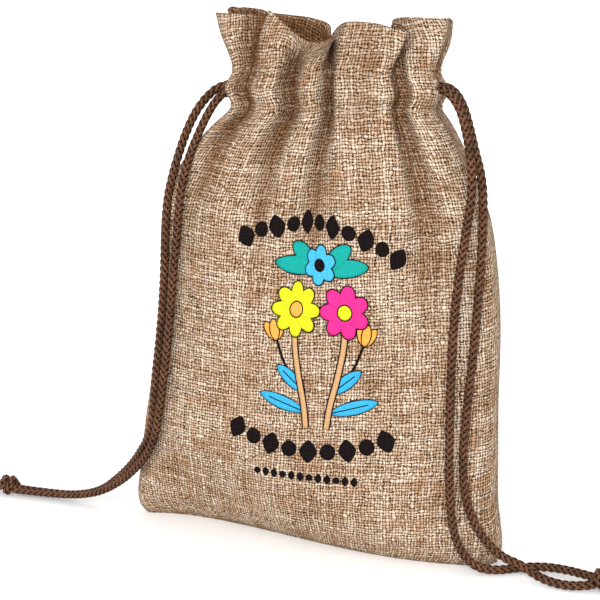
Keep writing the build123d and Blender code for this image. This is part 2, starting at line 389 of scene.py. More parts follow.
def grid_object(name, grid, uv, material):
    """A mesh of quads over a grid of points, with its cloth coordinates as UVs in millimetres."""
    rows, columns, _ = grid.shape
    index = np.arange(rows * columns).reshape(rows, columns)
    corners = [index[:-1, :-1], index[:-1, 1:], index[1:, 1:], index[1:, :-1]]
    faces = np.stack(corners, axis=-1).reshape(-1, 4)
    return mesh_object(name, grid.reshape(-1, 3), faces, uv.reshape(-1, 2), material)


def mesh_object(name, points, faces, uv, material):
    """A smooth-shaded mesh from points in millimetres."""
    mesh = bpy.data.meshes.new(name)
    mesh.from_pydata((np.asarray(points) * MM).tolist(), [], [list(face) for face in faces])
    layer = mesh.uv_layers.new(name="cloth")
    loops = np.empty(len(mesh.loops), dtype=np.int32)
    mesh.loops.foreach_get("vertex_index", loops)
    layer.data.foreach_set("uv", np.asarray(uv, np.float32)[loops].reshape(-1))
    mesh.polygons.foreach_set("use_smooth", [True] * len(mesh.polygons))
    mesh.materials.append(material)
    return link(bpy.data.objects.new(name, mesh))


def thicken(obj, thickness):
    """Give a sheet its thickness, inwards from its outer side."""
    thick = obj.modifiers.new("thickness", "SOLIDIFY")
    thick.thickness = thickness * MM
    thick.offset = -1
    graph = bpy.context.evaluated_depsgraph_get()
    mesh = bpy.data.meshes.new_from_object(obj.evaluated_get(graph))
    obj.modifiers.clear()
    obj.data = mesh


def route_line(route):
    """The smooth NURBS line of a cord's route, as points close together, in millimetres."""
    curve = bpy.data.curves.new("route", "CURVE")
    curve.dimensions = "3D"
    curve.resolution_u = 24
    spline = curve.splines.new("NURBS")
    spline.points.add(len(route) - 1)
    for point, place in zip(spline.points, route):
        point.co = (*(value * MM for value in place), 1)
    spline.order_u = 3
    spline.use_endpoint_u = True
    holder = link(bpy.data.objects.new("route", curve))
    mesh = bpy.data.meshes.new_from_object(holder)
    points = np.empty(len(mesh.vertices) * 3)
    mesh.vertices.foreach_get("co", points)
    bpy.data.objects.remove(holder)
    bpy.data.curves.remove(curve)
    bpy.data.meshes.remove(mesh)
    return points.reshape(-1, 3) / MM


def distances(line):
    """How far each point is along a line."""
    return np.concatenate([[0], np.cumsum(np.linalg.norm(np.diff(line, axis=0), axis=1))])


def evenly(line, step):
    """The same line with points an even step apart, and the distance of each along it."""
    lengths = distances(line)
    count = max(8, int(round(lengths[-1] / step)) + 1)
    at = np.linspace(0, lengths[-1], count)
    return np.stack([np.interp(at, lengths, line[:, axis]) for axis in range(3)], axis=-1), at


def carried_frames(line):
    """Two cross directions at each point, carried along without twisting."""
    tangents = np.gradient(line, axis=0)
    tangents /= np.linalg.norm(tangents, axis=1)[:, None]
    first = np.cross(tangents[0], (0.3, 0.9, 0.2))
    normals = [first / np.linalg.norm(first)]
    for tangent in tangents[1:]:
        normal = normals[-1] - tangent * (normals[-1] @ tangent)
        normals.append(normal / np.linalg.norm(normal))
    normals = np.array(normals)
    return normals, np.cross(tangents, normals)


def tube_mesh(line, across, out, half_width, half_thickness, sides):
    """A closed tube of oval section along a line. Its UVs are turns round it and millimetres along it."""
    angles = np.linspace(0, 2 * math.pi, sides, endpoint=False)
    rings = (line[:, None]
             + across[:, None] * (np.cos(angles) * half_width)[None, :, None]
             + out[:, None] * (np.sin(angles) * half_thickness)[None, :, None])
    count = len(line)
    index = np.arange(count * sides).reshape(count, sides)
    right = np.roll(index, -1, axis=1)
    faces = np.stack([index[:-1], right[:-1], right[1:], index[1:]], axis=-1).reshape(-1, 4).tolist()
    faces.append(list(index[0][::-1]))
    faces.append(list(index[-1]))
    uv = np.stack(np.broadcast_arrays(angles / (2 * math.pi), distances(line)[:, None]), axis=-1)
    return rings.reshape(-1, 3), faces, uv.reshape(-1, 2)


def joined(name, parts, materials):
    """One object from several meshes, each with its material."""
    points, faces, uv, slots = [], [], [], []
    kinds = list(dict.fromkeys(materials))
    offset = 0
    for (part_points, part_faces, part_uv), material in zip(parts, materials):
        points.append(part_points)
        uv.append(part_uv)
        faces.extend([[corner + offset for corner in face] for face in part_faces])
        slots.extend([kinds.index(material)] * len(part_faces))
        offset += len(part_points)
    obj = mesh_object(name, np.concatenate(points), faces, np.concatenate(uv), kinds[0])
    for material in kinds[1:]:
        obj.data.materials.append(material)
    obj.data.polygons.foreach_set("material_index", slots)
    return obj


# ---------------------------------------------------------------- materials


class Nodes:
    """Short calls for building a material's nodes."""

    def __init__(self, name):
        self.material = bpy.data.materials.new(name)
        self.material.use_nodes = True
        self.tree = self.material.node_tree
        self.tree.nodes.clear()

    def node(self, kind, inputs=(), **settings):
        """A new node, with its first inputs by order or any inputs by name."""
        made = self.tree.nodes.new(kind)
        for key, value in settings.items():
            setattr(made, key, value)
        for key, value in inputs.items() if isinstance(inputs, dict) else enumerate(inputs):
            self.set(made.inputs[key], value)
        return made

    def set(self, socket, value):
        if isinstance(value, bpy.types.NodeSocket):
            self.tree.links.new(value, socket)
        else:
            socket.default_value = value

    def math(self, operation, *values, clamp=False):
        return self.node("ShaderNodeMath", values, operation=operation, use_clamp=clamp).outputs[0]

    def add(self, first, second, clamp=False):
        return self.math("ADD", first, second, clamp=clamp)

    def subtract(self, first, second):
        return self.math("SUBTRACT", first, second)

    def multiply(self, first, second):
        return self.math("MULTIPLY", first, second)

    def about_half(self, value, amount):
        """The value's distance from a half, times the amount."""
        return self.multiply(self.subtract(value, 0.5), amount)

    def ramp(self, value, low, high, out_low=0.0, out_high=1.0):
        values = (value, low, high, out_low, out_high)
        return self.node("ShaderNodeMapRange", values, interpolation_type="SMOOTHSTEP").outputs[0]

    def vector(self, x, y, z=0.0):
        return self.node("ShaderNodeCombineXYZ", (x, y, z)).outputs[0]

    def noise(self, vector, scale, detail=2.0):
        inputs = {"Vector": vector, "Scale": scale, "Detail": detail}
        return self.node("ShaderNodeTexNoise", inputs).outputs["Fac"]

    def random(self, value):
        return self.node("ShaderNodeTexWhiteNoise", {"W": value}, noise_dimensions="1D").outputs["Value"]

    def mix(self, factor, first, second, blend="MIX"):
        inputs = {0: factor, 6: first, 7: second}
        return self.node("ShaderNodeMix", inputs, data_type="RGBA", blend_type=blend).outputs[2]

    def colours(self, factor, stops):
        made = self.node("ShaderNodeValToRGB", [factor])
        ramp = made.color_ramp
        while len(ramp.elements) < len(stops):
            ramp.elements.new(0.5)
        for element, (place, colour) in zip(ramp.elements, stops):
            element.position = place
            element.color = (*colour, 1)
        return made.outputs[0]

    def cloth_coordinates(self):
        made = self.node("ShaderNodeUVMap", uv_map="cloth")
        split = self.node("ShaderNodeSeparateXYZ", [made.outputs[0]])
        return split.outputs[0], split.outputs[1]

    def finish(self, colour, height, distance, strength, roughness, sheen=0.0, specular=0.1):
        """A rough surface of that colour with bumps of that height, the distance in metres."""
        bump = self.node("ShaderNodeBump", {"Height": height, "Strength": strength, "Distance": distance})
        shader = self.node("ShaderNodeBsdfPrincipled", {
            "Base Color": colour,
            "Roughness": roughness,
            "Specular IOR Level": specular,
            "Sheen Weight": sheen,
            "Normal": bump.outputs[0],
        })
        self.node("ShaderNodeOutputMaterial", [shader.outputs[0]])
        return self.material


# Millimetres from thread to thread, and linear colours of the cloth
THREAD_PITCH = 1.02
# Painted shade in the gaps between threads
GAP_PAINTED_SHADE = (0.046, 0.019, 0.008)
CLOTH_TONES = [
    (0.0, (0.092, 0.044, 0.020)),
    (0.28, (0.228, 0.124, 0.063)),
    (0.50, (0.395, 0.274, 0.181)),
    (0.72, (0.535, 0.419, 0.316)),
    (1.0, (0.640, 0.550, 0.450)),
]
RUST = (0.310, 0.143, 0.058)
# Painted shade multiplied into the folds' hollows and the gathered neck, and into the deepest creases
FOLD_SHADE = (0.42, 0.27, 0.165)
DEEP_SHADE = (0.50, 0.36, 0.22)
# One turn in radians, for waves round and along a yarn
FULL_TURN = 6.283


def yarn(n, lengthwise, crosswise, seed):
    """One set of threads, in thread pitches: the thread's number, its round profile and its tone."""
    wander = n.vector(n.multiply(lengthwise, 0.22), n.multiply(crosswise, 0.45), seed)
    place = n.add(crosswise, n.about_half(n.noise(wander, 1.0), 2.1))
    number = n.math("FLOOR", place)
    off_centre = n.subtract(n.math("FRACT", place), 0.5)
    along = n.vector(n.multiply(lengthwise, 0.16), n.multiply(number, 7.31), seed + 3.7)
    slub = n.noise(along, 1.0, 4.0)
    half_width = n.add(0.11, n.multiply(slub, 0.54))
    ratio = n.math("DIVIDE", off_centre, half_width)
    round_part = n.subtract(1.0, n.multiply(ratio, ratio))
    profile = n.math("SQRT", n.math("MAXIMUM", round_part, 0.0))
    streak = n.noise(n.vector(n.multiply(lengthwise, 0.11), n.multiply(number, 3.13), seed + 9.1), 1.0)
    own_tone = n.random(n.add(number, seed * 31.0))
    tone = n.add(n.multiply(own_tone, 0.46), n.about_half(streak, 1.5))
    return number, profile, tone


def over_under(n, side, place):
    """How far a thread is over (1) or under (-1) the others at a place between two crossings."""
    return n.multiply(side, n.math("ABSOLUTE", n.math("SINE", n.multiply(place, math.pi))))


def weave_material(name, ink=None):
    """Coarse plain weave of uneven yarn, with painted shade in the gaps between threads and on the threads'
    low parts. With ink, the threads' tops are printed and the painted shade in the gaps shows less.
    """
    n = Nodes(name)
    across, up = n.cloth_coordinates()
    warp_place = n.math("DIVIDE", across, THREAD_PITCH)
    weft_place = n.math("DIVIDE", up, THREAD_PITCH)
    warp_number, warp_profile, warp_tone = yarn(n, weft_place, warp_place, 1.0)
    weft_number, weft_profile, weft_tone = yarn(n, warp_place, weft_place, 5.0)

    parity = n.math("MODULO", n.math("ABSOLUTE", n.add(warp_number, weft_number)), 2.0)
    side = n.subtract(n.multiply(parity, 2.0), 1.0)
    warp_wave = n.multiply(over_under(n, side, weft_place), 0.38)
    weft_wave = n.multiply(over_under(n, side, warp_place), 0.38)
    warp_height = n.multiply(warp_profile, n.add(0.62, warp_wave))
    weft_height = n.multiply(weft_profile, n.subtract(0.62, weft_wave))
    height = n.math("MAXIMUM", warp_height, weft_height)
    on_top = n.math("GREATER_THAN", warp_height, weft_height)
    tone = n.add(n.multiply(warp_tone, on_top), n.multiply(weft_tone, n.subtract(1.0, on_top)))

    cell = n.random(n.add(n.multiply(warp_number, 1.37), n.multiply(weft_number, 57.13)))
    flat = n.vector(across, up)
    patch = n.noise(flat, 0.055, 3.0)
    fine = n.noise(n.vector(across, up, 3.0), 1.3, 4.0)
    tone_and_painted_shade = n.add(0.44, n.multiply(tone, 0.62))
    tone_and_painted_shade = n.add(tone_and_painted_shade, n.about_half(cell, 0.16))
    tone_and_painted_shade = n.add(tone_and_painted_shade, n.about_half(patch, 0.42))
    tone_and_painted_shade = n.add(tone_and_painted_shade, n.about_half(fine, 0.50))
    # Painted shade: lower parts of the threads are painted darker
    tone_and_painted_shade = n.add(tone_and_painted_shade, n.multiply(n.subtract(height, 0.72), 0.45), clamp=True)
    colour = n.colours(tone_and_painted_shade, CLOTH_TONES)
    rust = n.ramp(n.noise(flat, 0.13, 5.0), 0.50, 0.68)
    colour = n.mix(n.multiply(rust, 0.44), colour, (*RUST, 1))
    # Painted shade: the folds' hollows, the gathered neck and the inside of the mouth are painted darker, and
    # the deepest creases darker still
    fold = n.node("ShaderNodeAttribute", attribute_name="painted_shade_amount").outputs["Fac"]
    colour = n.mix(n.ramp(fold, -0.1, 0.9, 0.0, 0.64), colour, (*FOLD_SHADE, 1), "MULTIPLY")
    colour = n.mix(n.ramp(fold, 1.6, 2.0, 0.0, 0.7), colour, (*DEEP_SHADE, 1), "MULTIPLY")
    gap_shade_shown = 1.0
    strength = 0.9
    if ink is not None:
        wear = n.ramp(fine, 0.20, 0.45, 0.975, 1.0)
        colour = n.mix(wear, colour, (*ink, 1))
        gap_shade_shown = 0.22
        strength = 0.3
    # Painted shade: the gaps between threads, where the weave is low, are painted dark, and less under ink
    colour = n.mix(n.ramp(height, 0.26, 0.66, gap_shade_shown, 0.0), colour, (*GAP_PAINTED_SHADE, 1))
    relief = n.add(height, n.about_half(fine, 0.22))
    return n.finish(colour, relief, 0.00042, strength, roughness=0.95, specular=0.0)


def yarn_material(name, dark, light, twist=5.0, sheen=0.0):
    """Twisted yarn for cords and sewing thread: fine fibres round each strand, with painted shade towards
    each strand's edges, where strands meet.
    """
    n = Nodes(name)
    around, along = n.cloth_coordinates()
    slant = n.add(n.multiply(around, 3.0), n.multiply(along, twist * 0.4))
    fibre = n.add(0.5, n.multiply(n.math("SINE", n.multiply(slant, FULL_TURN)), 0.5))
    strand_edge_shading = n.math("ABSOLUTE", n.math("SINE", n.multiply(around, FULL_TURN)))
    coordinates = n.node("ShaderNodeTexCoord").outputs["Object"]
    fuzz = n.noise(coordinates, 2600.0, 3.0)
    patch = n.noise(coordinates, 160.0)
    tone = n.add(n.multiply(fibre, 0.16), n.multiply(fuzz, 0.60))
    tone = n.add(tone, n.about_half(patch, 0.55))
    # Painted shade: each strand is painted darker towards its edges, where the strands meet
    tone = n.multiply(n.add(tone, 0.12), n.ramp(strand_edge_shading, 0.30, 1.0))
    colour = n.mix(n.ramp(tone, 0.10, 0.62), (*dark, 1), (*light, 1))
    relief = n.add(n.multiply(fibre, 0.5), n.multiply(fuzz, 0.5))
    return n.finish(colour, relief, 0.00012, strength=0.8, roughness=0.62, sheen=sheen)


def floor_material():
    """A white studio floor, very slightly mottled."""
    n = Nodes("studio_floor")
    coordinates = n.node("ShaderNodeTexCoord").outputs["Object"]
    mottle = n.noise(coordinates, 9.0, 3.0)
    colour = n.mix(mottle, (0.93, 0.93, 0.93, 1), (0.96, 0.96, 0.96, 1))
    return n.finish(colour, mottle, 0.0001, strength=0.05, roughness=0.9)


burlap = weave_material("burlap")
cord_yarn = yarn_material("cord_yarn", (0.010, 0.004, 0.002), (0.140, 0.062, 0.031))
# The core is painted near black: painted shade between the braid's strands
cord_core_painted_shade = yarn_material("cord_core_painted_shade", (0.006, 0.003, 0.002), (0.014, 0.006, 0.003))
sewing_thread = yarn_material("sewing_thread", (0.26, 0.17, 0.10), (0.46, 0.34, 0.245), twist=3.0, sheen=0.06)

# ---------------------------------------------------------------- cloth

full_cloth = np.linspace(0, 2 * FLAT_WIDTH, 2 * COLUMNS + 1)
whole = outer_grid(full_cloth)
whole_hem = turned_hem(whole)
places_across = across_cloth(np.concatenate([whole, whole_hem]), full_cloth)
row_heights = (np.arange(len(whole)) - BASE_ROWS) * ROW_PITCH
# Painted shade, by how much the cloth is darkened: in the folds' hollows and creases, more over the gathered
# neck, and the most on the hem inside the mouth
neck_shade = 0.52 * smooth_step(118, 150, row_heights)[:, None]
painted_shade_amounts = np.concatenate([hollows(whole) + neck_shade, np.full(whole_hem.shape[:2], INSIDE_PAINTED_SHADE)])


def panel_piece(name, first, last):
    """One panel: outer layer, fold over the lip, and turned-in hem, given the cloth's thickness."""
    grid = np.concatenate([whole[:, first:last], whole_hem[:, first:last]])
    lengths = cloth_lengths(grid)
    uv = np.stack([places_across[:, first:last], lengths], axis=-1)
    piece = grid_object(name, grid, uv, burlap)
    depth = piece.data.attributes.new("painted_shade_amount", "FLOAT", "POINT")
    depth.data.foreach_set("value", painted_shade_amounts[:, first:last].reshape(-1).astype(np.float32))
    thicken(piece, CLOTH_THICKNESS)
    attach(piece, "pouch")
    return piece


for panel, first in (("front", 0), ("back", COLUMNS)):
    cloth = panel_piece(f"{panel}_cloth", first, first + COLUMNS + 1)
    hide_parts(f"{panel}_panel")

# ---------------------------------------------------------------- sewing

STITCH_PITCH = 3.2
STITCH_LENGTH = 2.2
STITCH_POINTS = 7
STITCH_RADIUS = 0.21
OVERLOCK_RADIUS = 0.24
THREAD_SIDES = 6

whole_normals = grid_normals(whole)
whole_lengths = cloth_lengths(whole)


def on_cloth(across, height, lift=0.0):
    """Points on the outer surface for places in the cloth and heights, with their cloth coordinates."""
    column = (across % (2 * FLAT_WIDTH)) / FLAT_WIDTH * COLUMNS
    row = height / ROW_PITCH + BASE_ROWS
    low_row = np.clip(row.astype(int), 0, len(whole) - 2)
    low_column = np.clip(column.astype(int), 0, 2 * COLUMNS - 1)
    up = (row - low_row)[..., None]
    along = (column - low_column)[..., None]

    def read(field):
        lower = field[low_row, low_column] * (1 - along) + field[low_row, low_column + 1] * along
        upper = field[low_row + 1, low_column] * (1 - along) + field[low_row + 1, low_column + 1] * along
        return lower * (1 - up) + upper * up

    length = read(whole_lengths[..., None])[..., 0]
    points = read(whole) + read(whole_normals) * np.asarray(lift, float)[..., None]
    return points, np.stack([across, length], axis=-1)


def thread_mesh(line, radius):
    """A sewing thread along a line."""
    return tube_mesh(line, *carried_frames(line), radius, radius, THREAD_SIDES)


def stitch_row(name, node, first, height):
    """A row of single stitches round one panel, each pulled into the cloth at its ends."""
    parts = []
    for index in range(int((FLAT_WIDTH - 6) / STITCH_PITCH)):
        middle = first + 4 + index * STITCH_PITCH
        across = np.linspace(middle - STITCH_LENGTH / 2, middle + STITCH_LENGTH / 2, STITCH_POINTS)
        lifts = 0.16 - 0.5 * np.abs(np.linspace(-1, 1, STITCH_POINTS)) ** 4
        drift = 0.18 * math.sin(index * 2.3)
        line, _ = on_cloth(across, np.full(STITCH_POINTS, height + drift), lifts)
        parts.append(thread_mesh(line, STITCH_RADIUS))
    row = joined(name, parts, [sewing_thread] * len(parts))
    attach(row, "pouch")
    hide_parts(node)


for panel, first in (("front", 0), ("back", FLAT_WIDTH)):
    stitch_row(f"{panel}_lower_stitches", f"{panel}_lower_stitch_row", first, LOWER_ROW)
    stitch_row(f"{panel}_upper_stitches", f"{panel}_upper_stitch_row", first, UPPER_ROW)


def overlock(name, node, line, inwards, span):
    """An overlocked seam allowance inside the pouch: a zigzag thread between two running threads."""
    line, _ = evenly(line, 0.8)
    swing = np.where(np.arange(len(line)) % 4 < 2, -1.0, 1.0)
    parts = []
    for offset in (swing * span / 2, np.full(len(line), -span / 2), np.full(len(line), span / 2)):
        path = line + inwards * (1.6 + span / 2 + offset)[:, None]
        parts.append(thread_mesh(path, OVERLOCK_RADIUS))
    seam = joined(name, parts, [sewing_thread] * 3)
    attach(seam, "pouch")
    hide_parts(node)


seam_heights = np.arange(8, 139, 1.0)
for hand, place, inward in (("left", 0.0, 1.0), ("right", FLAT_WIDTH, -1.0)):
    seam_line, _ = on_cloth(np.full(len(seam_heights), place), seam_heights)
    overlock(f"{hand}_overlock", f"{hand}_side_seam_thread", seam_line, np.array([inward, 0, 0]), 3.0)
seam_line = whole[0, 12:COLUMNS - 12]
overlock("bottom_overlock", "bottom_seam_thread", seam_line, np.array([0, 0, 1.0]), 2.6)

# ---------------------------------------------------------------- cords

# Length of one turn of a strand, radius of the strands' middle lines, and how far they go over and under
BRAID_PITCH = 9.0
BRAID_RADIUS = 0.93
BRAID_LIFT = 0.20
# Half width and half thickness of a strand, and the core that fills the middle
STRAND_WIDTH = 0.57
STRAND_THICKNESS = 0.33
STRAND_SIDES = 8
STRANDS_EACH_WAY = 4
CORE_RADIUS = 0.78
CORE_SIDES = 10
# Turns, radius and mesh steps of the cord wound round the other one in a knot
KNOT_WRAPS = 1.4
KNOT_RADIUS = 2.25
KNOT_STEPS = 16

# The cords' lines from the channel down to the knot
LEFT_FRONT_ROUTE = [
    (-28.6, -3.2, 146.4), (-30.8, -3.8, 144.2), (-32.5, -4.8, 141.2), (-33.8, -6.2, 138.2),
    (-35.2, -8.4, 133.8), (-37.0, -11.0, 128.0), (-38.2, -13.0, 122.0), (-39.2, -14.6, 115.0),
    (-39.8, -15.8, 105.0), (-41.2, -16.4, 90.0), (-43.2, -16.4, 70.0), (-45.4, -16.5, 54.0),
    (-47.0, -16.5, 44.0), (-49.4, -15.2, 34.6), (-53.1, -12.6, 27.8), (-59.4, -9.4, 20.4),
    (-66.4, -6.6, 14.0), (-76.2, -2.6, 7.4), (-87.5, 0.6, 3.6), (-98.5, 1.0, 2.8),
    (-111.2, 0.6, 2.8),
]
LEFT_BACK_ROUTE = [
    (-28.8, 2.6, 148.6), (-31.4, 1.4, 148.2), (-34.4, 0.2, 145.8), (-37.0, -1.2, 142.6),
    (-39.0, -2.8, 138.8), (-40.8, -5.2, 133.4), (-42.2, -7.4, 127.6), (-43.8, -9.4, 120.6),
    (-45.0, -11.2, 113.0), (-45.2, -12.6, 104.0), (-46.0, -13.2, 84.0), (-48.0, -13.2, 66.0),
    (-49.8, -13.4, 53.0), (-51.0, -13.0, 41.0), (-53.6, -11.4, 32.4), (-58.0, -8.0, 26.2),
    (-63.0, -4.6, 19.8), (-69.4, -2.0, 13.4), (-77.2, 0.4, 6.8), (-88.4, 3.4, 2.6),
    (-99.4, 3.9, 1.9), (-112.0, 3.5, 2.2),
]
RIGHT_FRONT_ROUTE = [
    (41.28, -3.643, 150.0), (43.4, -3.5, 149.1), (45.8, -4.1, 146.7), (48.0, -5.2, 143.2),
    (50.0, -7.4, 138.0), (51.9, -10.2, 132.0), (53.2, -12.4, 125.6), (53.4, -14.2, 117.6),
    (51.9, -14.6, 107.0), (50.2, -15.6, 92.0), (49.4, -16.6, 75.0), (49.2, -17.0, 57.0),
    (49.4, -17.1, 40.0), (49.8, -16.7, 26.0), (51.0, -15.7, 14.4), (54.0, -14.4, 6.6),
    (58.8, -13.0, 2.3), (64.8, -10.6, 1.6), (70.6, -6.4, 1.6), (77.0, -4.2, 1.9),
    (84.0, -4.9, 2.2), (90.2, -7.6, 2.7), (94.4, -9.6, 2.9),
]
RIGHT_BACK_ROUTE = [
    (41.28, 3.643, 150.0), (43.5, 2.6, 149.2), (45.9, 0.6, 147.1), (48.2, -1.6, 143.7),
    (50.4, -4.2, 138.4), (52.7, -6.8, 132.0), (55.2, -9.0, 125.6), (56.4, -10.6, 118.0),
    (56.6, -11.2, 107.0), (56.2, -12.2, 91.0), (55.4, -13.4, 74.0), (54.2, -14.2, 58.0),
    (53.2, -14.8, 42.0), (53.6, -14.3, 28.0), (56.6, -12.4, 17.0), (61.2, -10.6, 9.6),
    (66.0, -10.4, 5.8), (71.8, -11.2, 4.6), (77.6, -13.6, 2.4), (83.8, -15.2, 1.6),
    (90.2, -15.2, 1.8), (94.4, -14.0, 2.5),
]


def braided_cord(name, line, step=0.42):
    """An eight-strand round braid along a line: four strands each way, over two and under two."""
    line, at = evenly(line, step)
    normals, sides = carried_frames(line)
    turn = 2 * math.pi / BRAID_PITCH * at
    count = STRANDS_EACH_WAY
    parts = [tube_mesh(line, normals, sides, CORE_RADIUS, CORE_RADIUS, CORE_SIDES)]
    for way in (1, -1):
        for strand in range(count):
            angle = 2 * math.pi * strand / count + way * turn
            weave = np.cos(math.pi * strand + way * count / 2 * turn - math.pi / 4)
            radius = BRAID_RADIUS + way * BRAID_LIFT * weave
            out = normals * np.cos(angle)[:, None] + sides * np.sin(angle)[:, None]
            path = line + out * radius[:, None]
            heading = np.gradient(path, axis=0)
            heading /= np.linalg.norm(heading, axis=1)[:, None]
            across = np.cross(out, heading)
            parts.append(tube_mesh(path, across, out, STRAND_WIDTH, STRAND_THICKNESS, STRAND_SIDES))
    return joined(name, parts, [cord_core_painted_shade] + [cord_yarn] * (len(parts) - 1)), line


def knot_piece(name, side, entries):
    """An overhand knot: one cord runs through, the other wraps round it, and both cut ends stick out."""
    start = np.mean(entries, axis=0)
    first, second = entries
    middle = 3.7 - start[2]
    core = [
        first,
        start + (side * 1.8, -0.6, 0.8 * middle),
        start + (side * 4.4, 0.4, middle),
        start + (side * 7.6, -0.6, 0.7 * middle),
        start + (side * 10.5, -1.6, 1.7 - start[2]),
        start + (side * 15.0, -2.4, 1.6 - start[2]),
    ]
    wrap = [second, start + (side * 0.6, 2.3, 0.4 * middle)]
    for index in range(KNOT_STEPS + 1):
        angle = 2 * math.pi * (KNOT_WRAPS * index / KNOT_STEPS) + 0.7
        along = 1.6 + 3.9 * index / KNOT_STEPS + 1.2 * math.cos(angle + 0.5)
        out = KNOT_RADIUS * math.cos(angle)
        rise = KNOT_RADIUS * math.sin(angle)
        wrap.append(start + (side * along, out, middle + rise))
    wrap += [
        start + (side * 8.6, 1.8, 0.4 * middle),
        start + (side * 11.6, 2.4, 1.6 - start[2]),
        start + (side * 14.2, 3.2, 1.6 - start[2]),
    ]
    parts = []
    for label, route in (("a", core), ("b", wrap)):
        cord, _ = braided_cord(f"{name}_{label}", route_line(route), 0.4)
        parts.append(cord)
    bpy.ops.object.select_all(action="DESELECT")
    for part in parts:
        part.select_set(True)
    bpy.context.view_layer.objects.active = parts[0]
    bpy.ops.object.join()
    parts[0].name = name
    return parts[0]


def drawcord_side(hand, side, front_route, back_route):
    """One side's two tails and their knot."""
    body = f"{hand}_pull"
    entries = [np.array(front_route[-1]), np.array(back_route[-1])]
    knot = knot_piece(f"{hand}_knot_tied", side, entries)
    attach(knot, body)
    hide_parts(f"{hand}_knot")
    for place, route in (("front", front_route), ("back", back_route)):
        tail, line = braided_cord(f"{hand}_{place}_tail", route_line(route))
        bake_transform(tail)
        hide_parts(f"{hand}_cord_{place}_tail")


def channel_run(hand, front_exit, back_exit, far_end):
    """The part of a cord inside the channel: along the front, round the far end and back."""
    x, _, z = front_exit
    way = 1 if far_end > x else -1
    half = [
        (x + way * 2.5, 3.2),
        (x + way * 7.0, 2.9),
        (0.5 * (x + far_end), 2.9),
        (far_end - way * 7.0, 2.9),
        (far_end - way * 1.5, 2.8),
    ]
    there = [(along, -depth, z) for along, depth in half]
    back = [(along, depth, z) for along, depth in reversed(half)]
    route = [front_exit, *there, (far_end, 0.0, z), *back, back_exit]
    run, _ = braided_cord(f"{hand}_channel_cord", route_line(route), 0.7)
    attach(run, "pouch")
    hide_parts(f"{hand}_cord_channel_run")


channel_run("left", LEFT_FRONT_ROUTE[0], LEFT_BACK_ROUTE[0], 37.6)
channel_run("right", RIGHT_FRONT_ROUTE[0], RIGHT_BACK_ROUTE[0], -23.6)
drawcord_side("left", -1, LEFT_FRONT_ROUTE, LEFT_BACK_ROUTE)
drawcord_side("right", 1, RIGHT_FRONT_ROUTE, RIGHT_BACK_ROUTE)

# ---------------------------------------------------------------- print: a plain flower motif

# How far the first layer of ink stands off the cloth, the step from layer to layer, and its thickness
INK_LIFT = 0.10
INK_STEP = 0.05
INK_THICKNESS = 0.05
OUTLINE_WIDTH = 0.42
PRINT_CENTRE = 74.8
PLANT_CENTRE = 75.3


def inked_points(places, layer):
    """Points on the cloth at (across, height) places, lifted by a layer of ink."""
    return on_cloth(places[:, 0], places[:, 1], np.full(len(places), INK_LIFT + layer * INK_STEP))


def patch(outline, layer):
    """A filled shape on the cloth inside an outline of (across, height) points."""
    centre = outline.mean(axis=0)
    rings = [centre + (outline - centre) * share for share in (0.02, 0.35, 0.7, 1.0)]
    points, uv = inked_points(np.concatenate(rings), layer)
    count = len(outline)
    faces = [list(range(count))]
    for ring in range(3):
        for index in range(count):
            after = (index + 1) % count
            low, high = ring * count, (ring + 1) * count
            faces.append([low + index, high + index, high + after, low + after])
    turn = np.cross(outline - centre, np.roll(outline, -1, axis=0) - centre).sum()
    if turn < 0:
        faces = [face[::-1] for face in faces]
    return points, faces, uv


def band(line, width, layer):
    """A stripe on the cloth along (across, height) points."""
    steps = distances(line)
    line = catmull_rom(steps, line, np.linspace(0, steps[-1], max(6, int(steps[-1] / 1.2))))
    heading = np.gradient(line, axis=0)
    heading /= np.linalg.norm(heading, axis=1)[:, None]
    side = np.stack([heading[:, 1], -heading[:, 0]], axis=-1)
    shares = np.linspace(-0.5, 0.5, 3)
    places = (line[:, None] + side[:, None] * (shares * width)[None, :, None]).reshape(-1, 2)
    points, uv = inked_points(places, layer)
    faces = []
    for index in range(len(line) - 1):
        for part in range(2):
            corner = index * 3 + part
            faces.append([corner, corner + 1, corner + 4, corner + 3])
    return points, faces, uv


def turns(count):
    """Angles evenly round a full turn."""
    return np.linspace(0, 2 * math.pi, count, endpoint=False)


def signed_power(value, power):
    return np.sign(value) * np.abs(value) ** power


def leaned(centre, angle, along, across):
    """Points at distances along and across a direction, angle in degrees from straight up."""
    lean = math.radians(angle)
    x = centre[0] + along * math.sin(lean) + across * math.cos(lean)
    y = centre[1] + along * math.cos(lean) - across * math.sin(lean)
    return np.stack([x, y], axis=-1)


def petal(centre, angle, length, width, sharpness):
    """The outline of a petal or leaf that grows from a point."""
    turn = turns(28)
    along = (1 - np.cos(turn)) / 2 * length
    across = signed_power(np.sin(turn), sharpness) * width / 2
    return leaned(centre, angle, along, across)


def disc(centre, radius):
    """The outline of a round dot."""
    turn = turns(24)
    return np.stack([centre[0] + radius * np.cos(turn), centre[1] + radius * np.sin(turn)], axis=-1)


def lozenge(centre, angle, width, height):
    """The outline of a rounded diamond."""
    turn = turns(32)
    across = signed_power(np.cos(turn), 1.45) * width / 2
    along = signed_power(np.sin(turn), 1.45) * height / 2
    return leaned(centre, angle, along, across)


def grown(outline, rim):
    """The same outline, a rim larger all round."""
    centre = outline.mean(axis=0)
    away = outline - centre
    size = np.linalg.norm(away, axis=1)[:, None] + 1e-6
    return outline + away / size * rim


inked = {}


def draw(colour, part):
    """Keep a part of the print with the others of its colour."""
    inked.setdefault(colour, []).append(part)


def draw_shape(colour, outline, layer):
    """A coloured shape with a black outline."""
    draw("black", patch(grown(outline, OUTLINE_WIDTH), layer - 1))
    draw(colour, patch(outline, layer))


